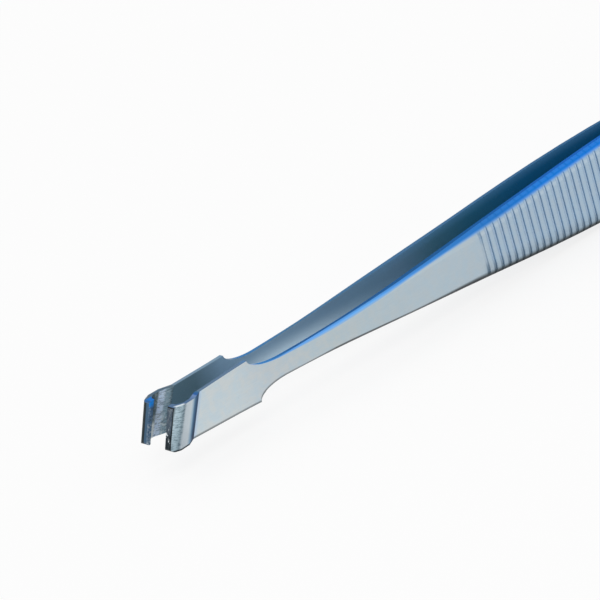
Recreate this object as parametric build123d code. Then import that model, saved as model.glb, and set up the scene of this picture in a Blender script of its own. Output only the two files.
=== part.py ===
from build123d import *
from math import cos, radians, sin, sqrt, tan
import os

# Angled tweezers: two mirrored spring steel arms, welded face to face at the tail.
# The tweezers lie on the long edges of the arms. X runs from the tips to the tail,
# Y is the way the arms open and Z is up, across the width of the arms.
# Lengths along an arm are measured from its shoulder, where the wide paddle at the
# tip end narrows to the neck. All sizes are in millimetres, angles in degrees.

# Length of the whole tool, from the foremost corner of the tips to the tail
overall_length = 120.0

# Outline of an arm seen from its flat side, as half widths about the centre line
paddle_half_width = 2.35
paddle_taper = 2.5
paddle_length = 6.3
shoulder_rake = 0.35
neck_length = 4.0
neck_half_width = 1.04
grip_half_width = 4.7
grip_full_at = 61.0
tail_taper_length = 26.0
tail_half_width = 3.6
tail_corner_radius = 2.0

# Bow of an arm, as the distance of its outer face from the middle plane
paddle_spread = 2.17
paddle_splay = 0.04
neck_slope = 0.07
bend_length = 2.5
bow_spread = 3.15
bow_at = 20.0
bow_end = 34.0
weld_start = 86.0

# Thickness of the steel
paddle_thickness = 0.55
grip_thickness = 1.25
thinning_start = -4.0
thinning_end = 36.0

# Rounding of the two long outer edges: how far it reaches down the outer face and in
# across the edge, on the shank and on the grip, and how full the round is
edge_drop = 0.4
edge_inset = 0.4
edge_fullness = 0.4
edge_full_at = 12.0
grip_edge_drop = 1.3
grip_edge_inset = 0.75
grip_edge_fullness = 1.0
grip_edge_at = 36.0
edge_start = 1.2
edge_fade = 0.1
edge_facets = 3
neck_shares = (1.0, 0.93, 0.86, 0.78, 0.68, 0.55, 0.35)

# Cross grooves of the grip, and the turn of the rounded edge at which they run out
groove_start = 31.2
groove_pitch = 1.0
groove_count = 39
groove_width = 0.34
groove_depth = 0.13
groove_run_out = 42.0

# Formed tip: a channel pressed outwards across the slanted end of the paddle, with a
# lip that turns in. Forward reach and outward height are taken from the bend line, and
# the channel grows smaller towards the lower corner of the tip.
tip_slant = 29.5
tip_length = 3.32
tip_step_length = 1.15
tip_rise = 0.62
tip_crest_length = 1.25
tip_fall = 0.6
tip_wall = 0.55
lip_thickness = 0.6
lip_reach = 0.55
tip_shrink = 0.12
tip_bend_radius = 0.2
tip_nose_bulge = 0.06
tip_drop = 0.1
tip_corner_radius = 0.3

# Room that a cutting shape takes past what it cuts
cut_margin = 1.0


def smooth(x, start, end, low, high):
    """Go from low to high between start and end, level at both ends."""
    share = min(max((x - start) / (end - start), 0.0), 1.0)
    return low + (high - low) * share * share * (3.0 - 2.0 * share)


def top_height():
    """Height of the bend line's upper end over the centre line."""
    return paddle_half_width - paddle_length * tan(radians(paddle_taper))


def spread(x):
    """Distance of the outer face from the middle plane."""
    if x < -bend_length:
        return paddle_spread - paddle_splay * x
    if x < bend_length:
        share = (x + bend_length) / (2.0 * bend_length)
        front = paddle_spread + paddle_splay * bend_length
        rear = paddle_spread + neck_slope * bend_length
        return (1 - share) ** 2 * front + 2 * share * (1 - share) * paddle_spread + share ** 2 * rear
    if x < bow_at:
        share = (x - bend_length) / (bow_at - bend_length)
        start = paddle_spread + neck_slope * bend_length
        lift = start + neck_slope * (bow_at - bend_length) / 3.0
        near = (1 - share) ** 3 * start + 3 * share * (1 - share) ** 2 * lift
        return near + (3 * share ** 2 * (1 - share) + share ** 3) * bow_spread
    return smooth(x, bow_end, weld_start, bow_spread, grip_thickness)


def thickness(x):
    """Thickness of the steel, thin at the paddle and full from the grip on."""
    return smooth(x, thinning_start, thinning_end, paddle_thickness, grip_thickness)


def half_width(x, shoulder):
    """Half width of the arm, for the upper or the lower edge."""
    if x <= shoulder:
        return paddle_half_width + (x - shoulder) * tan(radians(paddle_taper))
    if x < grip_full_at:
        shank = smooth(x, edge_start, grip_full_at, neck_half_width, grip_half_width)
        share = max(0.0, 1.0 - (x - shoulder) / neck_length)
        return shank + (paddle_half_width - shank) * (1.0 - sqrt(1.0 - share * share))
    return smooth(x, tail_end - tail_taper_length, tail_end, grip_half_width, tail_half_width)


def stations(start, end, step):
    """Evenly spaced places along the arm, about one step apart, both ends included."""
    count = max(2, round((end - start) / step))
    return [start + (end - start) * i / count for i in range(count + 1)]


def paddle_pattern():
    """The paddle and the start of the neck from their flat side, as a thick slab."""

    def edge(shoulder, side):
        height = side * half_width(from_bend(side * top_height(), 0, 0)[0], 0.0)
        bend = from_bend(height, 0, 0)[0]
        low = height - tip_drop
        front = from_bend(low, tip_length * tip_size(low) + tip_nose_bulge, 0)[0]
        neck = EllipticalCenterArc(
            (shoulder + neck_length, side * paddle_half_width),
            neck_length,
            paddle_half_width - neck_half_width,
            180.0,
            arc_size=side * 90.0,
        )
        tip = Line((front, low), (bend, height))
        return [tip, Line(tip @ 1, (shoulder, side * paddle_half_width)), neck]

    top = edge(0.0, 1)
    low = edge(shoulder_rake, -1)
    ends = [Line(top[0] @ 0, low[0] @ 0), Line(top[-1] @ 1, low[-1] @ 1)]
    outline = make_face(Wire(top + low + ends))
    corners = outline.vertices().sort_by(Axis.X)[:2]
    outline = fillet(corners, tip_corner_radius)
    return extrude(Plane.XZ * outline, bow_spread + tip_rise + cut_margin, both=True)


def paddle():
    """The flat paddle from the bend line to the first round of the neck."""
    front = -(paddle_length + tip_length + paddle_half_width)
    bend = [(x, spread(x)) for x in stations(-bend_length, edge_start, 1.0)]
    inner = [(x, spread(x) - thickness(x)) for x in stations(-bend_length, edge_start, 1.0)]
    wire = [
        Line((front, spread(front)), bend[0]),
        Spline(bend),
        Line(bend[-1], inner[-1]),
        Spline(inner),
        Line(inner[0], (front, spread(front) - paddle_thickness)),
        Line((front, spread(front) - paddle_thickness), (front, spread(front))),
    ]
    slab = extrude(make_face(wire), grip_half_width, both=True)
    reach = paddle_half_width + cut_margin
    channel = loft([channel_section(-reach), channel_section(reach)], ruled=True)
    room = loft([bend_room(-reach), bend_room(reach)], ruled=True)
    return (slab - room + channel) & paddle_pattern()


def from_bend(height, forward, outward):
    """A point of the formed tip, given from the bend line at one height."""
    bend_x = -paddle_length - (top_height() - height) * tan(radians(tip_slant))
    length = sqrt(1.0 + paddle_splay ** 2)
    x = bend_x + (paddle_splay * outward - forward) / length
    y = spread(bend_x) + (paddle_splay * forward + outward) / length
    return (x, y)


def bend_room(height):
    """Everything in front of the bend line at one height."""
    far = paddle_length + tip_length
    corners = [(0, -far), (0, far), (far, far), (far, -far)]
    outline = [from_bend(height, *corner) for corner in corners]
    return Pos(0, 0, height) * make_face(Polyline(*outline, close=True))


def tip_size(height):
    """Size of the formed tip at one height, against its size at the upper corner."""
    return 1.0 - tip_shrink * (top_height() - height) / (2.0 * top_height())


def channel_section(height):
    """Section of the formed tip at one height: step, crest, nose and lip."""
    size = tip_size(height)
    crest_start = tip_step_length * size
    crest_end = (tip_step_length + tip_crest_length) * size
    nose = tip_length * size
    nose_top = tip_rise - tip_fall / size
    lip_end = -(paddle_thickness + lip_reach)
    inner_fold = tip_wall * tan(radians(22.5))
    groove_top = tip_rise - tip_wall
    lip_rear = nose - lip_thickness
    corners = [
        (nose, lip_end),
        (lip_rear, lip_end),
        (lip_rear, groove_top - tip_fall * (1.0 - lip_thickness / tip_length)),
        (crest_end - inner_fold, groove_top),
        (crest_start + inner_fold, groove_top),
        (inner_fold, -paddle_thickness),
        (0, -paddle_thickness),
        (0, 0),
        (crest_start, tip_rise),
        (crest_end, tip_rise),
        (nose, nose_top),
    ]
    points = [from_bend(height, *corner) for corner in corners]
    middle = from_bend(height, nose + tip_nose_bulge, (nose_top + lip_end) / 2.0)
    section = make_face([Polyline(*points), ThreePointArc(points[-1], middle, points[0])])
    root = from_bend(height, tip_bend_radius, 0)[0]
    bends = [v for v in section.vertices() if v.X < root]
    return Pos(0, 0, height) * fillet(bends, tip_bend_radius)


def outer_round(x, shoulder, turn):
    """A point of the rounded outer edge: turn 0 is on the rim, 90 on the outer face."""
    drop = smooth(x, edge_start, edge_full_at, edge_fade * edge_drop, edge_drop)
    inset = smooth(x, edge_start, edge_full_at, edge_fade * edge_inset, edge_inset)
    fullness = smooth(x, bow_at, grip_edge_at, edge_fullness, grip_edge_fullness)
    drop += smooth(x, bow_at, grip_edge_at, 0.0, grip_edge_drop - edge_drop)
    inset += smooth(x, bow_at, grip_edge_at, 0.0, grip_edge_inset - edge_inset)
    share = turn / 90.0
    across = inset * ((1.0 - fullness) * share + fullness * sin(radians(turn)))
    down = drop * ((1.0 - fullness) * share + fullness * (1.0 - cos(radians(turn))))
    return (spread(x) - inset + across, half_width(x, shoulder) - down)


def edge_points(x, shoulder):
    """Corners of the rounded outer edge at one station, from its rim to its face."""
    return [outer_round(x, shoulder, 90.0 * i / edge_facets) for i in range(edge_facets + 1)]


def groove_points(x, shoulder, depth):
    """Floor of a groove from where it runs out in the rounded edge to its full depth."""
    points = []
    for step in range(edge_facets + 1):
        share = step / edge_facets
        y, z = outer_round(x, shoulder, groove_run_out + (90.0 - groove_run_out) * share)
        points.append((y - depth * sin(radians(90.0 * share)), z))
    return points


def arm_section(x):
    """The arm's section at one station, square inside and rounded outside."""
    top = edge_points(x, 0.0)
    low = [(y, -z) for y, z in edge_points(x, shoulder_rake)]
    inner = spread(x) - thickness(x)
    outline = [(inner, half_width(x, 0.0))] + top + low[::-1]
    outline.append((inner, -half_width(x, shoulder_rake)))
    return Plane(origin=(x, 0, 0), x_dir=(0, 1, 0), z_dir=(1, 0, 0)) * make_face(
        Polyline(*outline, close=True)
    )


def blade():
    """The arm behind the shoulder: neck, shank, grip and tail, from station to station."""
    neck_end = neck_length + shoulder_rake
    along = [neck_end - (neck_end - edge_start) * share ** 2 for share in neck_shares]
    along += stations(neck_end, bow_at, 2.0) + stations(bow_at, weld_start, 4.0)[1:]
    along += stations(weld_start, tail_end, 4.0)[1:]
    return loft([arm_section(x) for x in along], ruled=True)


def tail_corners():
    """What is taken off the two square corners at the tail."""
    radius = tail_corner_radius
    block = Pos(tail_end, 0, 0) * Box(2 * radius, 4 * grip_thickness, 2 * radius)
    round_end = Rot(90, 0, 0) * Cylinder(radius, 4 * grip_thickness)
    tool = None
    for side in (1, -1):
        corner = Pos(0, 0, side * tail_half_width) * block
        corner -= Pos(tail_end - radius, 0, side * (tail_half_width - radius)) * round_end
        tool = corner if tool is None else tool + corner
    return tool


def grip_grooves():
    """What the cross grooves take away: one thin slice at each station of the grip."""
    cuts = []
    for number in range(groove_count):
        x = groove_start + number * groove_pitch
        depth = groove_depth if number else groove_depth / 2.0
        top = groove_points(x, 0.0, depth)
        low = [(y, -z) for y, z in groove_points(x, shoulder_rake, depth)]
        outside = spread(x) + cut_margin
        outline = [(outside, top[0][1])] + top + low[::-1] + [(outside, low[0][1])]
        section = Plane(origin=(x - groove_width / 2, 0, 0), x_dir=(0, 1, 0), z_dir=(1, 0, 0))
        cuts.append(extrude(section * make_face(Polyline(*outline, close=True)), groove_width))
    return cuts


os.makedirs("parts", exist_ok=True)
tip_end = paddle()
tail_end = overall_length + tip_end.bounding_box().min.X
right = tip_end + blade() - tail_corners() - grip_grooves()
right = Pos(overall_length / 2.0 - tail_end, 0.0, grip_half_width) * right
left = mirror(right, about=Plane.XZ)
export_step(right, os.path.join("parts", "right_arm.step"))
export_step(left, os.path.join("parts", "left_arm.step"))
print("volume of one arm", round(right.volume, 2), "box", right.bounding_box())
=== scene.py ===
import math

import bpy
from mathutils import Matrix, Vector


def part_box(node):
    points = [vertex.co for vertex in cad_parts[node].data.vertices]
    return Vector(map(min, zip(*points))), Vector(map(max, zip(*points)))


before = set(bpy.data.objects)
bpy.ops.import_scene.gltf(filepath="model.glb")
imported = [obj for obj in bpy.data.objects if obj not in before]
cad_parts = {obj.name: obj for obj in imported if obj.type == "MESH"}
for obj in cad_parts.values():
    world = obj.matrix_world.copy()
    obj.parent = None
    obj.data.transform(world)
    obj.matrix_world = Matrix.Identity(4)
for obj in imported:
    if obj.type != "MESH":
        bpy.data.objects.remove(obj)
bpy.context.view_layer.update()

# %% [markdown]
# # Angled tweezers
# The object is a pair of steel tweezers for small electronic parts. Each of the two arms
# is one strip of spring steel: a hook-formed tip, a flat paddle, a slim neck, a grip with
# cross grooves and a plain tail, where the two arms are welded together. The solids
# already have this form, so the work here is light, camera and above all the steel.
# Everything is in metres, and the frame is the one that the solids were packed in.

MM = 0.001
tip_x = min(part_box(name)[0].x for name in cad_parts)
tail_x = max(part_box(name)[1].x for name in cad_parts)
top_z = max(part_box(name)[1].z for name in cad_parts)
middle_z = top_z / 2.0
print("nodes", sorted(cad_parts), "length in mm", round((tail_x - tip_x) / MM, 2))

# %% [markdown]
# ## Places along an arm
# A finish on a real tool follows its form: the paddle is pale and satin, the grip is
# cooler and grooved, and the tip is ground. So the materials need to know where the
# shoulder, the grooves and the tip's bend line are. The shoulder is found from the foremost
# point of the tips, and the other places are measured from the shoulder.

# %% Named places, in metres
shoulder_x = tip_x + 11.446 * MM
paddle_length = 6.3 * MM
upper_bend_z = 2.075 * MM
tip_slant = math.radians(29.5)
groove_start = 31.2 * MM
groove_pitch = 1.0 * MM
groove_count = 39
print("shoulder at X in mm", round(shoulder_x / MM, 2))

# %% [markdown]
# ## Camera
# The photograph looks along the tweezers from the side of the tips, from above and from
# the left, with the camera rolled so that the tool climbs to the right. The camera's place
# was found by laying the edges of the solids over the edges in the picture. A long lens
# keeps the two arms nearly parallel, as they are there.

# %% Camera at the photograph's angle
view_azimuth = math.radians(-33.245)
view_elevation = math.radians(20.286)
view_roll = math.radians(16.605)
view_distance = 300.0 * MM
view_width = 59.695 * MM
shift_right = 8.027 * MM
shift_up = 5.823 * MM
sensor_width = 36.0

back = Vector((
    math.sin(view_azimuth) * math.cos(view_elevation),
    -math.cos(view_azimuth) * math.cos(view_elevation),
    math.sin(view_elevation),
))
level_right = Vector((math.cos(view_azimuth), math.sin(view_azimuth), 0.0))
level_up = back.cross(level_right)
right = level_right * math.cos(view_roll) - level_up * math.sin(view_roll)
up = level_right * math.sin(view_roll) + level_up * math.cos(view_roll)
target = Vector((shoulder_x, 0.0, middle_z)) + level_right * shift_right + level_up * shift_up

bpy.ops.object.camera_add()
camera = bpy.context.object
camera.name = "camera"
camera.data.sensor_width = sensor_width
camera.data.lens = sensor_width * view_distance / view_width
camera.data.clip_start = 0.01
stand = Matrix((right, up, back)).transposed().to_4x4()
stand.translation = target + back * view_distance
camera.matrix_world = stand
bpy.context.scene.camera = camera
print("lens in mm", round(camera.data.lens, 1))

# %% [markdown]
# ## Light
# Steel shows what stands around it. In a white room it shows its own colour, and two
# large soft lamps give the bends their light and dark sides. The world is white for the
# camera and for reflections, and a little weaker for the light that it gives. A Light Path
# node tells the two kinds of ray apart, and the floor asks it the same question later.

# %% Helpers for a node tree
def feed(tree, socket, source):
    """Give a socket a number, a colour or the output of another node."""
    if isinstance(source, bpy.types.NodeSocket):
        tree.links.new(source, socket)
    else:
        socket.default_value = source


def maths(tree, operation, *sources):
    """One sum, product or the like."""
    node = tree.nodes.new("ShaderNodeMath")
    node.operation = operation
    for socket, source in zip(node.inputs, sources):
        feed(tree, socket, source)
    return node.outputs[0]


def looked_at(tree):
    """One for rays of the camera and for those that metal or glass sends on, else zero."""
    paths = tree.nodes.new("ShaderNodeLightPath")
    seen = maths(tree, "MAXIMUM", paths.outputs["Is Camera Ray"], paths.outputs["Is Glossy Ray"])
    return maths(tree, "MAXIMUM", seen, paths.outputs["Is Transmission Ray"])


print("helpers: feed, maths, looked_at")

# %% White room
room_light = 0.8
bpy.context.scene.view_settings.view_transform = "Standard"
world = bpy.data.worlds.new("white_room")
bpy.context.scene.world = world
world.use_nodes = True
room = world.node_tree
room.nodes.clear()
strength = room.nodes.new("ShaderNodeMapRange")
strength.inputs["To Min"].default_value = room_light
strength.inputs["To Max"].default_value = 1.0
room.links.new(looked_at(room), strength.inputs["Value"])
sky = room.nodes.new("ShaderNodeBackground")
sky.inputs["Color"].default_value = (1.0, 1.0, 1.0, 1.0)
room.links.new(strength.outputs["Result"], sky.inputs["Strength"])
room_output = room.nodes.new("ShaderNodeOutputWorld")
room.links.new(sky.outputs[0], room_output.inputs[0])
print("world", world.name, "is white to look at and gives light of strength", room_light)


# %% Soft lamps
def soft_lamp(name, place, size, power):
    """A square lamp that faces the middle of the tool."""
    bpy.ops.object.light_add(type="AREA", location=place)
    lamp = bpy.context.object
    lamp.name = name
    lamp.data.size = size
    lamp.data.energy = power
    lamp.rotation_euler = (Vector(place) * -1.0).to_track_quat("-Z", "Y").to_euler()
    return lamp


key_lamp = soft_lamp("key_lamp", (-0.25, -0.25, 0.45), size=0.35, power=0.5)
back_lamp = soft_lamp("back_lamp", (0.2, 0.35, 0.4), size=0.4, power=0.35)
print("lamps in watts", round(key_lamp.data.energy, 2), round(back_lamp.data.energy, 2))

# %% [markdown]
# ## Floor
# The tweezers lie on their long edges on a plain white sheet. More lamps would make the
# sheet white but would bleach the steel too. So the sheet is one large plane that gives off
# a part of its white by itself, for the camera and for reflections only: the lamps stay as
# they are, and the shadow stays soft and pale as on a light table.

# %% Floor
floor_width = 4.0
sheet_white = (0.9, 0.9, 0.9, 1.0)
own_glow = 0.8
bpy.ops.object.select_all(action="DESELECT")
bpy.ops.mesh.primitive_plane_add(size=floor_width, location=(0.0, 0.0, 0.0))
floor = bpy.context.object
floor.name = "floor"
print("floor is", floor_width, "m wide")

# %% Material: white sheet
sheet = bpy.data.materials.new("white_sheet")
sheet.use_nodes = True
paper = sheet.node_tree
paper.nodes.clear()
matt = paper.nodes.new("ShaderNodeBsdfDiffuse")
matt.inputs["Color"].default_value = sheet_white
glow = paper.nodes.new("ShaderNodeEmission")
glow.inputs["Strength"].default_value = 1.0
glow_share = maths(paper, "MULTIPLY", looked_at(paper), own_glow)
matt_and_glow = paper.nodes.new("ShaderNodeMixShader")
paper.links.new(glow_share, matt_and_glow.inputs[0])
paper.links.new(matt.outputs[0], matt_and_glow.inputs[1])
paper.links.new(glow.outputs[0], matt_and_glow.inputs[2])
sheet_output = paper.nodes.new("ShaderNodeOutputMaterial")
paper.links.new(matt_and_glow.outputs[0], sheet_output.inputs["Surface"])
floor.data.materials.append(sheet)
print("floor wears", sheet.name)

# %% [markdown]
# ## How the steel is built
# Real tweezers are one metal with several finishes: satin faces, rims that were ground and
# polished after stamping, a dull gap side, cross grooves and tips ground by hand. Much of the
# colour here is painted light, though. The blue of the rims, the deep blue of the gap side, the
# stripes of the tips and the dark lower edges are painted reflection and painted shade. The colour
# depends on where a point lies on the arm and on which way it faces, so the material first works
# out those places once, in millimetres, and each coat then reads them. Painting by place keeps
# these colours on the object: they stay put from every side.

# %% [markdown]
# ## Places on an arm
# One group answers a few questions for any point of the steel: how far it is behind the
# shoulder, how far ahead of the slanted bend line, how high over the middle, how far out
# from the middle plane, how far inside the edge of the strip, how far round its rounded
# edge, and which way the surface faces. The two arms mirror each other, so the way across
# is measured outwards on both, and one group serves the two of them.

# %% Helpers for node groups
def new_group(name, inputs, outputs):
    """An empty node group with named number sockets; a name that ends in Place is a vector."""
    group = bpy.data.node_groups.new(name, "ShaderNodeTree")
    for names, side in ((inputs, "INPUT"), (outputs, "OUTPUT")):
        for socket_name in names:
            kind = "NodeSocketVector" if socket_name.endswith("Place") else "NodeSocketFloat"
            group.interface.new_socket(name=socket_name, in_out=side, socket_type=kind)
    start = group.nodes.new("NodeGroupInput")
    end = group.nodes.new("NodeGroupOutput")
    return group, start.outputs, end.inputs


def answer(group, sockets, sources):
    """Join what a group has found to its outputs, in their order."""
    for socket, source in zip(sockets, sources):
        group.links.new(source, socket)


def between(tree, source, start, end, low=0.0, high=1.0):
    """Go softly from low to high while the source goes from start to end."""
    node = tree.nodes.new("ShaderNodeMapRange")
    node.interpolation_type = "SMOOTHSTEP"
    settings = (source, start, end, low, high)
    for socket, setting in zip(node.inputs, settings):
        feed(tree, socket, setting)
    return node.outputs[0]


print("helpers: new_group, answer, between")

# %% Group: arm places, measures in millimetres
paddle_half_width = 2.35
paddle_taper = math.tan(math.radians(2.5))
shoulder_rake = 0.35
neck_length = 4.0
neck_start = 1.2
grip_full_at = 61.0
neck_half_width = 1.04
grip_half_width = 4.7
round_full_at = 12.0
neck_round = 0.04
shank_round = 0.4
bow_at = 20.0
grip_round_at = 36.0
grip_round = 1.3
print("paddle", 2 * paddle_half_width, "mm wide, grip", 2 * grip_half_width, "mm wide")

# %% Group: arm places, what it answers
place_outputs = [
    "Behind", "Ahead", "Height", "Across", "Depth", "Turn",
    "Outward", "Upward", "Forward", "Far Side",
]
arm_places, _, answers = new_group("arm_places", [], place_outputs)
coordinates = arm_places.nodes.new("ShaderNodeTexCoord")
spot = arm_places.nodes.new("ShaderNodeSeparateXYZ")
facing = arm_places.nodes.new("ShaderNodeSeparateXYZ")
arm_places.links.new(coordinates.outputs["Object"], spot.inputs[0])
arm_places.links.new(coordinates.outputs["Normal"], facing.inputs[0])
print("arm_places answers", place_outputs)

# %% Group: arm places, the way along, up and across
from_shoulder = maths(arm_places, "SUBTRACT", spot.outputs["X"], shoulder_x)
behind = maths(arm_places, "DIVIDE", from_shoulder, MM)
above_middle = maths(arm_places, "SUBTRACT", spot.outputs["Z"], middle_z)
height = maths(arm_places, "DIVIDE", above_middle, MM)
across = maths(arm_places, "DIVIDE", maths(arm_places, "ABSOLUTE", spot.outputs["Y"]), MM)
drop_from_bend = maths(arm_places, "SUBTRACT", upper_bend_z / MM, height)
bend_set_back = maths(arm_places, "MULTIPLY", drop_from_bend, math.tan(tip_slant))
bend_place = maths(arm_places, "ADD", bend_set_back, paddle_length / MM)
ahead = maths(arm_places, "SUBTRACT", maths(arm_places, "MULTIPLY", behind, -1.0), bend_place)
print("the upper end of the bend line is", paddle_length / MM, "mm ahead of the shoulder")

# %% [markdown]
# ## Half width of an arm
# A rim follows the edge of the strip, so the material must know how far a point is from
# that edge. The solids were lofted with a written law for the half width: it tapers along
# the shank, and a quarter of an ellipse leads from there out to the shoulder of the paddle.
# The same law is written here in nodes, which keeps every rim on the real edge.

# %% Group: arm places, half width and depth from the edge
shank = between(arm_places, behind, neck_start, grip_full_at, neck_half_width, grip_half_width)
rake = maths(arm_places, "MULTIPLY", maths(arm_places, "LESS_THAN", height, 0.0), shoulder_rake)
into_neck = maths(arm_places, "DIVIDE", maths(arm_places, "SUBTRACT", behind, rake), neck_length)
neck_share = maths(arm_places, "SUBTRACT", 1.0, into_neck)
neck_share = maths(arm_places, "MINIMUM", maths(arm_places, "MAXIMUM", neck_share, 0.0), 1.0)
round_share = maths(arm_places, "MULTIPLY", neck_share, neck_share)
round_share = maths(arm_places, "SQRT", maths(arm_places, "SUBTRACT", 1.0, round_share))
extra = maths(arm_places, "SUBTRACT", paddle_half_width, shank)
extra = maths(arm_places, "MULTIPLY", extra, maths(arm_places, "SUBTRACT", 1.0, round_share))
narrowing = maths(arm_places, "MINIMUM", behind, 0.0)
narrowing = maths(arm_places, "MULTIPLY", narrowing, paddle_taper)
half_width = maths(arm_places, "ADD", shank, maths(arm_places, "ADD", extra, narrowing))
depth = maths(arm_places, "SUBTRACT", half_width, maths(arm_places, "ABSOLUTE", height))
print("the neck is", neck_length, "mm long, and its lower side starts", shoulder_rake, "mm behind")

# %% Group: arm places, how far round the edge
front_round = between(arm_places, behind, neck_start, round_full_at, neck_round, shank_round)
rear_round = between(arm_places, behind, bow_at, grip_round_at, 0.0, grip_round - shank_round)
turn = maths(arm_places, "DIVIDE", depth, maths(arm_places, "ADD", front_round, rear_round))
side = maths(arm_places, "SIGN", spot.outputs["Y"])
far_side = maths(arm_places, "GREATER_THAN", spot.outputs["Y"], 0.0)
outward = maths(arm_places, "MULTIPLY", facing.outputs["Y"], side)
forward = maths(arm_places, "MULTIPLY", facing.outputs["X"], -1.0)
found = (
    behind, ahead, height, across, depth, turn,
    outward, facing.outputs["Z"], forward, far_side,
)
answer(arm_places, answers, found)
print("arm_places is made of", len(arm_places.nodes), "nodes")

# %% [markdown]
# ## Grain
# Satin steel is brushed along its length: thousands of fine scratches that catch light in
# thin lines. Noise stretched along X gives them. A second, coarser cloud is the faint
# mottling that handling and cleaning leave on a paddle, and sharp small specks are pits.
# A picture of scratches would end at its seams, and noise has none.

# %% Helpers for noise
def cloud(tree, where, scale, detail=2.0, roughness=0.5):
    """Noise in an object's own coordinates, from 0 to 1."""
    node = tree.nodes.new("ShaderNodeTexNoise")
    feed(tree, node.inputs["Vector"], where)
    node.inputs["Scale"].default_value = scale
    node.inputs["Detail"].default_value = detail
    node.inputs["Roughness"].default_value = roughness
    return node.outputs[0]


def stretched(tree, where, turn, sizes):
    """Coordinates turned and stretched, so that noise becomes grain."""
    node = tree.nodes.new("ShaderNodeMapping")
    feed(tree, node.inputs["Vector"], where)
    node.inputs["Rotation"].default_value = turn
    node.inputs["Scale"].default_value = sizes
    return node.outputs[0]


print("helpers: cloud, stretched")

# %% Group: steel grain
steel_grain, given, answers = new_group(
    "steel_grain", ["Place"], ["Brushing", "Mottle", "Speck"]
)
brushing_scale = 14000.0
mottle_scale = 900.0
speck_scale = 5200.0
long_place = stretched(steel_grain, given["Place"], (0, 0, 0), (0.05, 1.0, 1.0))
brushing = cloud(steel_grain, long_place, brushing_scale, 3.0, 0.6)
mottle = cloud(steel_grain, given["Place"], mottle_scale, 3.0, 0.6)
fine = cloud(steel_grain, given["Place"], speck_scale, 2.0, 0.5)
speck = between(steel_grain, fine, 0.66, 0.74)
answer(steel_grain, answers, (brushing, mottle, speck))
print("steel_grain is made of", len(steel_grain.nodes), "nodes")

# %% [markdown]
# ## Grinding marks
# The ends of the tips are ground across, which leaves short strokes from the front to the back,
# stacked up the height of the tip, and burrs where the grinding wheel left the corner, on which
# bright glints are painted. Noise that is stretched along the stroke gives the first, and two cuts
# through one round noise, a soft one and a sharp one, give worn patches and the painted glints on
# the burrs.

# %% Group: grinding marks
grinding_marks, given, answers = new_group(
    "grinding_marks", ["Place"], ["Strokes", "Patches", "Sparkle"]
)
stroke_turn = (0, -0.15, 0)
stroke_stretch = (0.22, 0.22, 1.0)
stroke_scale = 8500.0
lump_scale = 2300.0
across_place = stretched(grinding_marks, given["Place"], stroke_turn, stroke_stretch)
strokes = cloud(grinding_marks, across_place, stroke_scale, 3.0, 0.7)
lumps = cloud(grinding_marks, given["Place"], lump_scale, 3.0, 0.7)
patches = between(grinding_marks, lumps, 0.46, 0.64)
sparkle = between(grinding_marks, lumps, 0.57, 0.63)
answer(grinding_marks, answers, (strokes, patches, sparkle))
print("grinding_marks is made of", len(grinding_marks.nodes), "nodes")

# %% [markdown]
# ## Cross grooves
# The grooves are cut in the solids, and this group only knows where they are. A Ping-Pong node
# folds the way along the grip into the distance from the nearest groove, so one mask serves all of
# them. Floor marks the groove itself, and a second mask reaches a little over its edges to mark
# where the colour beside the groove is darkened. First tells the shallow first groove from the
# others, because its middle fades.

# %% Helper for a stretch
def band(tree, source, start, end, soft):
    """One inside a stretch and zero outside it, with soft ends."""
    rise = between(tree, source, start - soft, start + soft)
    fall = between(tree, source, end - soft, end + soft, 1.0, 0.0)
    return maths(tree, "MULTIPLY", rise, fall)


print("helper: band")

# %% Group: groove dirt
edge_core = 0.12
edge_reach = 0.32
floor_core = 0.1
floor_reach = 0.13
groove_places, given, answers = new_group("groove_places", ["Behind"], ["Dirt", "First", "Floor"])
first_groove = groove_start / MM
along = maths(groove_places, "SUBTRACT", given["Behind"], first_groove)
step = maths(groove_places, "DIVIDE", along, groove_pitch / MM)
from_groove = maths(groove_places, "PINGPONG", step, 0.5)
edge_darkening = between(groove_places, from_groove, edge_core, edge_reach, 1.0, 0.0)
last_groove = first_groove + (groove_count - 0.5) * groove_pitch / MM
on_grip = band(groove_places, given["Behind"], first_groove - 0.5, last_groove, 0.05)
edge_darkening_on_grip = maths(groove_places, "MULTIPLY", edge_darkening, on_grip)
first = between(groove_places, given["Behind"], first_groove + 0.4, first_groove + 0.6, 1.0, 0.0)
cut = between(groove_places, from_groove, floor_core, floor_reach, 1.0, 0.0)
cut_on_grip = maths(groove_places, "MULTIPLY", cut, on_grip)
answer(groove_places, answers, (edge_darkening_on_grip, first, cut_on_grip))
print("groups", [group.name for group in bpy.data.node_groups])

# %% [markdown]
# ## Satin steel
# Now the coats are laid over one another: the outer face first, then the gap side, the grooves,
# the rims and lower edges, and last the tips. The colours are those that the steel shows in
# daylight from a window, and much of them is painted light. The faces are pale grey. The bright
# blue rims are painted reflections of the sky, and the deep slate blue on the side of the gap is
# painted shade and reflection. Each coat has its own colours and a mask that says where it lies,
# and later coats cover earlier ones, as paint does.

# %% Helper for placing a group
def use_group(tree, group, **sources):
    """Place a group in a material and return its outputs by name."""
    node = tree.nodes.new("ShaderNodeGroup")
    node.node_tree = group
    for name, source in sources.items():
        feed(tree, node.inputs[name.replace("_", " ")], source)
    return node.outputs


print("helper: use_group")

# %% Material: satin steel, places and grain
steel = bpy.data.materials.new("satin_steel")
steel.use_nodes = True
tree = steel.node_tree
skin = tree.nodes["Principled BSDF"]
coordinates = tree.nodes.new("ShaderNodeTexCoord")
where = coordinates.outputs["Object"]
at = use_group(tree, arm_places)
grain = use_group(tree, steel_grain, Place=where)
marks = use_group(tree, grinding_marks, Place=where)
grooves = use_group(tree, groove_places, Behind=at["Behind"])
print(steel.name, "reads the places", list(at.keys()))


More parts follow.
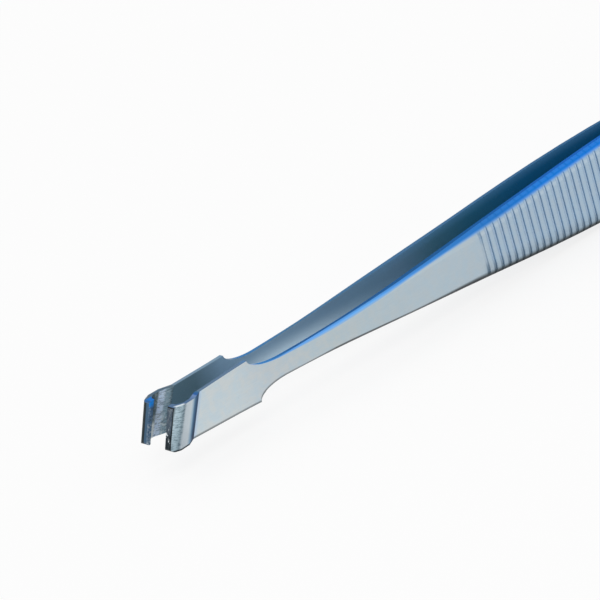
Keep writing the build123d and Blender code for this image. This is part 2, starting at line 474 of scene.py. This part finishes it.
# %% Masks that several coats share
def all_of(*masks):
    """One only where every mask is one."""
    product = masks[0]
    for mask in masks[1:]:
        product = maths(tree, "MULTIPLY", product, mask)
    return product


def other_than(mask):
    """One where the mask is zero."""
    return maths(tree, "SUBTRACT", 1.0, mask)


is_outer = between(tree, at["Outward"], 0.2, 0.6)
is_gap_side = between(tree, at["Outward"], -0.2, -0.6)
is_flat = between(tree, at["Upward"], 0.9, 0.97)
is_near = other_than(at["Far Side"])
in_tip = between(tree, at["Ahead"], -0.05, 0.05)
print("masks: outer face, gap side, flat, near arm, tip")

# %% [markdown]
# ## Coat 1: the outer face
# The outer face is satin, nearly white on the paddle and cooler along the grip. One flat
# colour would look like plastic, so a ramp along the arm gives the slow change, and the
# coarse cloud mottles it with a cool and a warm grey. Just before the bend of the tip the
# paddle mirrors the sky in a soft blue stripe.

# %% Helpers for colours
def shade(red, green, blue):
    """A colour given as it looks on a screen, from 0 to 255, turned into a linear one."""
    def linear(level):
        share = level / 255.0
        return share / 12.92 if share <= 0.04045 else ((share + 0.055) / 1.055) ** 2.4
    return (linear(red), linear(green), linear(blue), 1.0)


def blend(tree, share, under, over):
    """Lay one colour over another."""
    node = tree.nodes.new("ShaderNodeMix")
    node.data_type = "RGBA"
    feed(tree, node.inputs["Factor"], share)
    feed(tree, node.inputs["A"], under)
    feed(tree, node.inputs["B"], over)
    return node.outputs["Result"]


def colour_along(tree, source, stops):
    """Colours that follow one another along a length: stops are (millimetres, colour)."""
    first, last = stops[0][0], stops[-1][0]
    share = tree.nodes.new("ShaderNodeMapRange")
    feed(tree, share.inputs["Value"], source)
    share.inputs["From Min"].default_value = first
    share.inputs["From Max"].default_value = last
    ramp = tree.nodes.new("ShaderNodeValToRGB")
    elements = ramp.color_ramp.elements
    while len(elements) < len(stops):
        elements.new(0.5)
    for element, (place, colour) in zip(elements, stops):
        element.position = (place - first) / (last - first)
        element.color = colour
    tree.links.new(share.outputs[0], ramp.inputs[0])
    return ramp.outputs["Color"]


print("helpers: shade, blend, colour_along")

# %% Coat 1: the outer face
outer_face = colour_along(tree, at["Behind"], (
    (-12.0, shade(212, 224, 230)),
    (-2.0, shade(206, 218, 224)),
    (2.0, shade(193, 204, 212)),
    (10.0, shade(184, 198, 205)),
    (24.0, shade(180, 197, 208)),
    (30.0, shade(178, 195, 207)),
    (33.0, shade(168, 191, 210)),
    (50.0, shade(164, 189, 210)),
))
cool = shade(176, 196, 207)
warm = shade(205, 205, 200)
mottled = blend(tree, between(tree, grain["Mottle"], 0.32, 0.68), cool, warm)
near_paddle = between(tree, at["Behind"], 6.0, 20.0, 0.4, 0.2)
colour = blend(tree, near_paddle, outer_face, mottled)
# The soft blue stripe before the bend is a painted reflection of the sky.
before_bend = band(tree, at["Ahead"], -0.3, 0.1, 0.2)
colour = blend(tree, all_of(before_bend, is_outer, 0.35), colour, shade(150, 190, 236))
print("coat 1, nodes so far", len(tree.nodes))

# %% [markdown]
# ## Coat 2: the side of the gap
# On this side the steel sees little but the other arm, so it is darker and bluer, the more so the
# closer the two arms run. Lamps alone can't give such a deep blue in a white room, so a ramp along
# the arm writes this shade and reflection into the colour. Painted light from the sheet brightens
# the lower half behind the paddle, and a paler fringe of painted light runs along the edges of the
# grip.

# %% Coat 2: the side of the gap
gap_side = colour_along(tree, at["Behind"], (
    (-12.0, shade(90, 119, 137)),
    (-4.0, shade(90, 118, 133)),
    (-0.5, shade(124, 154, 179)),
    (4.0, shade(128, 155, 178)),
    (14.0, shade(108, 137, 162)),
    (19.0, shade(103, 135, 160)),
    (24.0, shade(97, 130, 156)),
    (29.0, shade(70, 115, 138)),
    (34.0, shade(48, 108, 138)),
    (42.0, shade(28, 103, 148)),
    (110.0, shade(20, 90, 146)),
))
# Painted light from the sheet on the lower half behind the paddle.
low_glow = between(tree, at["Height"], 0.9, -1.3)
glow_length = all_of(
    between(tree, at["Behind"], 1.0, 3.5),
    between(tree, at["Behind"], 5.0, 23.0, 1.0, 0.1),
)
gap_side = blend(tree, all_of(low_glow, glow_length), gap_side, shade(198, 220, 234))
# The paler fringe along the edges of the grip is painted light.
fringe_light = all_of(
    between(tree, at["Depth"], 0.0, 1.0, 1.0, 0.0),
    between(tree, at["Behind"], 14.0, 30.0),
    0.4,
)
gap_side = blend(tree, fringe_light, gap_side, shade(96, 150, 196))
colour = blend(tree, is_gap_side, colour, gap_side)
print("coat 2, nodes so far", len(tree.nodes))

# %% [markdown]
# ## Coat 3: grooves and ridges
# From a little way off, a groove is a thin line of dull pale blue, its floor, with a darker blue
# beside it along both edges. The patches of the grinding marks thin that darker blue out here and
# there, so it is uneven. The ends of the ridges have a painted highlight near the upper edge. Near
# the lower edge, painted shade darkens them.

# %% Coat 3: grooves
middle_fade = between(tree, maths(tree, "ABSOLUTE", at["Height"]), 0.6, 2.2, 0.8, 0.0)
# Darker blue along both edges of each groove, made uneven by the patches.
edge_darkened = all_of(grooves["Dirt"], is_outer, other_than(all_of(grooves["First"], middle_fade)))
uneven = between(tree, marks["Patches"], 0.0, 1.0, 0.75, 0.4)
colour = blend(tree, all_of(edge_darkened, uneven), colour, shade(118, 150, 184))
groove_floor = all_of(
    grooves["Floor"],
    other_than(is_gap_side),
    other_than(is_flat),
    other_than(grooves["First"]),
)
colour = blend(tree, groove_floor, colour, shade(180, 202, 224))
print("grooves coloured:", groove_count)

# %% Coat 3: the ends of the ridges, a painted highlight above and painted shade below
# A painted highlight on the upper ends of the ridges, just below the rounded rim.
ridge_end_highlight = all_of(
    band(tree, at["Turn"], 0.66, 0.92, 0.08),
    between(tree, at["Height"], 0.0, 0.3),
    between(tree, at["Behind"], 30.6, 31.2),
    other_than(grooves["Dirt"]),
    is_outer,
)
colour = blend(tree, all_of(ridge_end_highlight, 0.25), colour, shade(206, 220, 232))
# Painted shade along the lower edge of the grip, deepest beside the grooves.
low_edge_shade = all_of(
    between(tree, at["Depth"], 0.5, 2.2, 1.0, 0.0),
    between(tree, at["Height"], 0.0, -1.0),
    between(tree, at["Behind"], 30.4, 31.0),
    maths(tree, "ADD", all_of(grooves["Dirt"], 0.55), 0.15),
    is_outer,
)
colour = blend(tree, low_edge_shade, colour, shade(66, 82, 90))
print("coat 3, nodes so far", len(tree.nodes))

# %% [markdown]
# ## Coat 4: the rims
# The upper edge of each arm is a narrow flat rim with a rounded one beside it, and both
# mirror a deep blue sky. The far arm turns its rims to a duller part of that sky, so it
# gets colours of its own. Turn tells how far round the edge a point lies. It lets the blue
# fade into the outer face exactly where the rounding ends, also on the wide crown of the
# grip.

# %% Coat 4: the flat rims
# The blue of both rims is a painted reflection of the sky.
near_flat_rim = colour_along(tree, at["Behind"], (
    (-12.0, shade(92, 116, 140)),
    (-1.0, shade(96, 122, 150)),
    (1.5, shade(56, 128, 192)),
    (6.0, shade(38, 92, 148)),
    (24.0, shade(28, 88, 144)),
    (30.0, shade(20, 88, 152)),
    (46.0, shade(18, 96, 184)),
))
far_flat_rim = colour_along(tree, at["Behind"], (
    (-12.0, shade(104, 126, 146)),
    (-0.5, shade(122, 150, 172)),
    (2.0, shade(60, 122, 180)),
    (8.0, shade(72, 118, 156)),
    (24.0, shade(68, 110, 148)),
    (46.0, shade(54, 100, 140)),
))
flat_rim = blend(tree, at["Far Side"], near_flat_rim, far_flat_rim)
print("flat rims done")

# %% Coat 4: the rounded rims
near_round_rim = colour_along(tree, at["Behind"], (
    (-2.0, shade(110, 150, 190)),
    (2.0, shade(78, 140, 206)),
    (8.0, shade(108, 170, 240)),
    (15.0, shade(108, 178, 246)),
    (20.0, shade(88, 158, 234)),
    (26.0, shade(64, 138, 214)),
    (34.0, shade(42, 124, 208)),
    (42.0, shade(28, 130, 230)),
    (50.0, shade(24, 128, 232)),
))
far_round_rim = colour_along(tree, at["Behind"], (
    (0.0, shade(110, 140, 168)),
    (46.0, shade(84, 118, 154)),
))
deep_start = all_of(
    between(tree, at["Turn"], 0.0, 0.45, 0.45, 0.0),
    between(tree, at["Behind"], 5.0, 12.0),
)
near_round_rim = blend(tree, deep_start, near_round_rim, shade(38, 100, 168))
round_rim = blend(tree, at["Far Side"], near_round_rim, far_round_rim)
print("rounded rims done")

# %% Coat 4: where the rims lie and how they fade
fade_start = between(tree, at["Behind"], 18.0, 28.0, 0.35, 0.22)
fade_end = maths(tree, "ADD", fade_start, 0.35)
faded = between(tree, at["Turn"], fade_start, fade_end)
faded_rim = blend(tree, faded, round_rim, shade(142, 180, 220))
rim_end = between(tree, at["Behind"], 16.0, 27.0, 1.0, 0.66)
is_round = all_of(
    between(tree, at["Upward"], 0.05, 0.15),
    between(tree, at["Outward"], -0.2, 0.0),
    between(tree, at["Turn"], maths(tree, "SUBTRACT", rim_end, 0.3), rim_end, 1.0, 0.0),
    other_than(in_tip),
)
colour = blend(tree, is_round, colour, faded_rim)
colour = blend(tree, is_flat, colour, flat_rim)
print("coat 4, nodes so far", len(tree.nodes))

# %% [markdown]
# ## Coat 5: the lower edges and the underside
# Where the steel turns down to the sheet, little light reaches it, and that shade is painted. A
# thin grey line of painted shade follows the lower edge of the paddle, and a darker one follows
# the shank and the front of the grip, wider where the rounding is wider. These lines are coats,
# placed by Depth and Turn so that they follow the form, and the underside is painted one plain
# dark grey of shade.

# %% Coat 5: the lower edge of the paddle
low_half = between(tree, at["Height"], 0.0, -0.3)
# Painted shade along the lower edge of the paddle.
paddle_edge_shade = all_of(
    low_half,
    is_outer,
    between(tree, at["Depth"], 0.1, 0.28, 1.0, 0.0),
    between(tree, at["Behind"], 11.0, 7.0),
    0.75,
)
colour = blend(tree, paddle_edge_shade, colour, shade(92, 95, 96))
print("paddle line done")

# %% Coat 5: the rounded lower edge
# Painted shade on the rounded lower edge and along the shank.
low_round_end = between(tree, at["Behind"], 20.0, 36.0, 1.0, 0.7)
low_round_shade = all_of(
    between(tree, at["Upward"], -0.05, -0.15),
    between(tree, at["Outward"], -0.2, 0.0),
    between(tree, at["Turn"], 0.25, low_round_end, 1.0, 0.0),
)
colour = blend(tree, low_round_shade, colour, shade(52, 60, 64))
line_start = between(tree, at["Behind"], 12.0, 26.0, 0.6, 0.3)
line_end = maths(tree, "ADD", line_start, 0.5)
shank_shade_line = all_of(
    low_half,
    is_outer,
    between(tree, at["Turn"], line_start, line_end, 1.0, 0.0),
    band(tree, at["Behind"], 9.0, 31.0, 2.0),
    0.9,
)
colour = blend(tree, shank_shade_line, colour, shade(44, 50, 54))
# The underside is painted dark grey as shade.
is_under = between(tree, at["Upward"], -0.7, -0.95)
colour = blend(tree, is_under, colour, shade(66, 70, 72))
print("coat 5, nodes so far", len(tree.nodes))

# %% [markdown]
# ## Coat 6: the outside of the tips
# Ahead of the bend line the strip steps outwards, runs over a crest and turns in again at
# the nose. Each of these bands mirrors another part of the room, so the steel is striped
# across, and a ramp that starts at the slanted bend line gives the stripes their slant.
# Grinding strokes darken the last millimetre, and the step lies in shade lower down.

# %% Coat 6: stripes and strokes
tip_outside = colour_along(tree, at["Ahead"], (
    (-0.1, shade(110, 150, 196)),
    (0.1, shade(26, 60, 98)),
    (0.5, shade(38, 84, 124)),
    (0.9, shade(84, 128, 164)),
    (1.15, shade(160, 184, 202)),
    (1.4, shade(198, 208, 214)),
    (2.1, shade(190, 201, 208)),
    (2.35, shade(128, 146, 156)),
    (2.6, shade(164, 186, 196)),
    (3.1, shade(178, 198, 208)),
    (3.3, shade(36, 46, 52)),
))
stroke_share = all_of(
    band(tree, at["Ahead"], 2.2, 3.2, 0.15),
    between(tree, marks["Strokes"], 0.46, 0.62),
    between(tree, at["Ahead"], 2.4, 3.0, 0.85, 0.6),
)
tip_outside = blend(tree, stroke_share, tip_outside, shade(84, 104, 114))
print("stripes and strokes done")

# %% Coat 6: the shade on the step
on_step = band(tree, at["Ahead"], 0.0, 0.7, 0.2)
step_share = maths(tree, "MULTIPLY_ADD", on_step, 0.6, 0.15)
low_shade = all_of(between(tree, at["Height"], 0.6, -2.0), step_share)
tip_outside = blend(tree, low_shade, tip_outside, shade(20, 40, 66))
colour = blend(tree, all_of(in_tip, is_outer), colour, tip_outside)
print("coat 6, nodes so far", len(tree.nodes))

# %% [markdown]
# ## Coat 7: the channel inside the tips
# From the gap a tip is a shallow channel, and the far arm shows it best. A ramp paints the
# channel's light and shade: the slope that leads into it is bright with painted reflection, and
# its floor is dull. Use has left it rough, with small dark pits. Its pale patches are partly wear
# and partly painted reflection of the sheet, so there are more of them low down. Low down it
# mirrors the sheet in one light patch, which is painted too. The noise of the grinding marks lays
# the patches and pits over the ramp.

# %% Coat 7: channel, its painted light, wear and pits
# The ramp paints the channel's light and shade, and the bright band on the slope is a painted
# reflection.
tip_inside = colour_along(tree, at["Ahead"], (
    (-0.1, shade(62, 80, 92)),
    (0.1, shade(106, 130, 142)),
    (0.7, shade(136, 160, 174)),
    (0.88, shade(186, 204, 224)),
    (1.3, shade(188, 206, 228)),
    (1.5, shade(104, 120, 124)),
    (2.0, shade(84, 100, 106)),
    (2.3, shade(82, 108, 132)),
    (3.2, shade(78, 106, 136)),
))
# Pale patches, partly wear and partly a painted reflection of the sheet, thicker low down.
lit_from_below = between(tree, at["Height"], 0.4, -0.9)
worn_and_lit = all_of(marks["Patches"], maths(tree, "ADD", all_of(lit_from_below, 0.4), 0.25))
tip_inside = blend(tree, worn_and_lit, tip_inside, shade(196, 206, 210))
pitted = all_of(between(tree, marks["Strokes"], 0.5, 0.4), 0.55)
tip_inside = blend(tree, pitted, tip_inside, shade(62, 76, 84))
print("wear and pits done")

# %% Coat 7: the light patch
light_patch = all_of(
    band(tree, at["Ahead"], 1.4, 2.3, 0.15),
    between(tree, at["Height"], -0.3, -1.0),
    0.8,
)
tip_inside = blend(tree, light_patch, tip_inside, shade(232, 238, 238))
colour = blend(tree, all_of(in_tip, is_gap_side), colour, tip_inside)
print("coat 7, nodes so far", len(tree.nodes))

# %% [markdown]
# ## Coat 8: the nose
# The nose is the small ground face at the very front. It is nearly black and lighter at the top
# than below. On the near arm it has grey patches and bright glints painted on the burrs, and
# painted shade darkens both of its edges. It is the only face that looks so far forward, so its
# normal finds it. Where it rolls over to the top, the normal leans back between the two, and a
# second mask gives that corner a dark line of painted shade, which is blue on the far arm.

# %% Coat 8: the nose of the near arm
nose_inner_edge = 1.62
nose_outer_edge = 2.42
faces_ahead = between(tree, at["Forward"], 0.75, 0.85)
is_nose = all_of(faces_ahead, between(tree, at["Ahead"], 2.2, 2.6))
upper_nose = between(tree, at["Height"], -0.9, 0.3)
patched = all_of(marks["Patches"], maths(tree, "ADD", all_of(upper_nose, 0.55), 0.2), is_near)
nose_ground = blend(tree, upper_nose, shade(28, 40, 46), shade(74, 88, 102))
nose_colour = blend(tree, patched, nose_ground, shade(122, 132, 140))
# The bright glints on the burrs are painted highlights.
sparkling = all_of(marks["Sparkle"], is_near, band(tree, at["Height"], -1.3, 0.3, 0.3))
nose_colour = blend(tree, sparkling, nose_colour, shade(214, 222, 226))
# Painted shade darkens both edges of the nose.
inside_edges = band(tree, at["Across"], nose_inner_edge, nose_outer_edge, 0.06)
nose_colour = blend(tree, inside_edges, shade(20, 27, 31), nose_colour)
print("near nose from", nose_inner_edge, "to", nose_outer_edge, "mm off the middle plane")

# %% Coat 8: the nose of the far arm
far_middle = 2.02
far_inner_half = all_of(
    at["Far Side"],
    between(tree, at["Across"], far_middle + 0.08, far_middle - 0.08),
)
nose_colour = blend(tree, at["Far Side"], nose_colour, shade(34, 46, 50))
nose_colour = blend(tree, far_inner_half, nose_colour, shade(68, 98, 124))
colour = blend(tree, is_nose, colour, nose_colour)
print("far nose parted at", far_middle, "mm")

# %% Coat 8: the upper corner
nose_corner = all_of(
    between(tree, at["Upward"], 0.56, 0.66),
    between(tree, at["Forward"], 0.15, 0.3),
    between(tree, at["Ahead"], 2.6, 2.9),
)
# On the near arm the dark line on the corner is painted shade.
corner_colour = blend(tree, at["Far Side"], shade(26, 34, 38), shade(46, 96, 152))
colour = blend(tree, nose_corner, colour, corner_colour)
print("coat 8, nodes so far", len(tree.nodes))

# %% [markdown]
# ## Coat 9: the tops of the tips
# The narrow top of a tip shows how thick the strip is. On the near arm it is royal blue at the
# bend, a painted reflection of the sky, and slate ahead of it, with a painted highlight along the
# outer edge. On the far arm it is grey, with a painted blue reflection at its end and another one
# on the lip below it. The outer edge slants in towards the nose, so the highlight is placed by its
# distance from that slanted line.

# %% Coat 9: the tops of the tips
# The royal blue at the bend and the blue end of the far tip are painted reflections of the sky.
slate = shade(86, 114, 148)
royal_blue = shade(66, 110, 144)
near_tip_top = colour_along(tree, at["Ahead"], (
    (0.0, royal_blue),
    (0.5, shade(42, 92, 158)),
    (0.75, shade(112, 140, 184)),
    (1.3, shade(96, 122, 160)),
    (1.6, slate),
    (3.3, slate),
))
far_tip_top = colour_along(tree, at["Ahead"], (
    (0.0, shade(92, 112, 126)),
    (2.4, shade(92, 112, 126)),
    (2.6, shade(34, 112, 196)),
    (3.1, shade(40, 116, 196)),
    (3.3, shade(56, 92, 130)),
))
far_outer_part = between(tree, at["Across"], 2.35, 2.55)
far_tip_top = blend(tree, far_outer_part, far_tip_top, shade(86, 108, 126))
tip_top = blend(tree, at["Far Side"], near_tip_top, far_tip_top)
print("tops of both tips done")

# %% Coat 9: the painted highlight on the outer edge
# The bright line along the outer edge is a painted highlight.
outer_edge = between(tree, at["Ahead"], 2.3, 3.3, 3.1, 2.5)
at_outer_edge = between(tree, maths(tree, "SUBTRACT", outer_edge, at["Across"]), 0.42, 0.28)
shiny_length = band(tree, at["Ahead"], 2.3, 3.1, 0.15)
tip_top = blend(tree, all_of(at_outer_edge, shiny_length, is_near), tip_top, shade(214, 224, 230))
colour = blend(tree, all_of(is_flat, in_tip), colour, tip_top)
print("burr done")

# %% Coat 9: the painted blue reflection on the lip
# The blue on the far lip is a painted reflection, broken up by the patches.
lip_reflection = all_of(
    at["Far Side"],
    between(tree, at["Height"], 1.2, 1.75),
    between(tree, at["Ahead"], 2.3, 2.8),
    is_gap_side,
)
reflection_patches = between(tree, marks["Patches"], 0.0, 1.0, 1.0, 0.35)
colour = blend(tree, all_of(lip_reflection, reflection_patches), colour, shade(40, 130, 214))
print("coat 9, nodes so far", len(tree.nodes))

# %% [markdown]
# ## Coat 10: the foot of the tips
# The lower edge of a tip hangs a little over the sheet, in its own shade, and shows as a
# dark line. The edge sinks towards the nose, so the height is measured over a sloping foot.
# A fixed height would cut the line off at one end.

# %% Coat 10: the dark foot of the tips
foot_at_bend = -1.97
foot_drop = 0.03
foot = maths(tree, "MULTIPLY_ADD", at["Ahead"], -foot_drop, foot_at_bend)
over_foot = maths(tree, "SUBTRACT", at["Height"], foot)
tip_foot = all_of(
    between(tree, over_foot, 0.08, 0.2, 1.0, 0.0),
    between(tree, at["Ahead"], 0.3, 1.0),
    is_outer,
    0.9,
)
colour = blend(tree, tip_foot, colour, shade(26, 34, 38))
print("coat 10, nodes so far", len(tree.nodes))

# %% [markdown]
# ## Fine brushing
# The brushing crosses every finish, so it comes last. It only makes the colour two per cent
# lighter or darker, because satin steel looks smooth from arm's length, and a few small
# pits lie in it.

# %% Fine brushing over all coats
brushing_light = (0.98, 1.02)
lighter = between(tree, grain["Brushing"], 0.35, 0.75, *brushing_light)
brushed = tree.nodes.new("ShaderNodeVectorMath")
brushed.operation = "SCALE"
feed(tree, brushed.inputs[0], colour)
feed(tree, brushed.inputs["Scale"], lighter)
pit_share = all_of(grain["Speck"], 0.12)
colour = blend(tree, pit_share, brushed.outputs[0], shade(150, 160, 165))
tree.links.new(colour, skin.inputs["Base Color"])
print("brushing makes the colour darker and lighter by", brushing_light)

# %% [markdown]
# ## Metal, roughness and bump
# Steel is metal, but a face that is seen at a grazing angle in a white room mirrors only
# white and loses its colour. The gap side, the flat rims and the groove floors are seen
# like that, so they are mostly matt, and the clear film that a matt surface has by default
# is taken away for the same reason. The bump is slight: the brushing everywhere, and the
# grinding strokes on the tips.

# %% Metal and roughness
dull_metal = 0.2
satin_roughness = (0.30, 0.40)
tip_extra = 0.1
dull_extra = 0.15
dull_side = maths(tree, "MAXIMUM", is_gap_side, maths(tree, "MAXIMUM", is_flat, groove_floor))
feed(tree, skin.inputs["Metallic"], between(tree, dull_side, 0.0, 1.0, 1.0, dull_metal))
skin.inputs["Specular IOR Level"].default_value = 0.0
roughness = between(tree, grain["Mottle"], 0.3, 0.7, *satin_roughness)
roughness = maths(tree, "ADD", roughness, all_of(in_tip, tip_extra))
roughness = maths(tree, "ADD", roughness, all_of(dull_side, dull_extra))
feed(tree, skin.inputs["Roughness"], roughness)
print("roughness of the satin", satin_roughness)

# %% Bump
brushing_relief = 0.35
relief_height = 0.01 * MM
relief = all_of(grain["Brushing"], brushing_relief)
relief = maths(tree, "ADD", relief, all_of(marks["Strokes"], in_tip))
bump = tree.nodes.new("ShaderNodeBump")
bump.inputs["Strength"].default_value = 0.5
bump.inputs["Distance"].default_value = relief_height
feed(tree, bump.inputs["Height"], relief)
tree.links.new(bump.outputs["Normal"], skin.inputs["Normal"])
print(steel.name, "is made of", len(tree.nodes), "nodes")

# %% [markdown]
# ## Dressing the arms
# Both arms were cut from the same steel, so they share the one material. Their meshes came
# from the solids and stay as they are: only what they wear is changed.

# %% Dress the arms
for name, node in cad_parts.items():
    node.data.materials.clear()
    node.data.materials.append(steel)
    print(name, "wears", steel.name, "triangles", len(node.data.polygons))
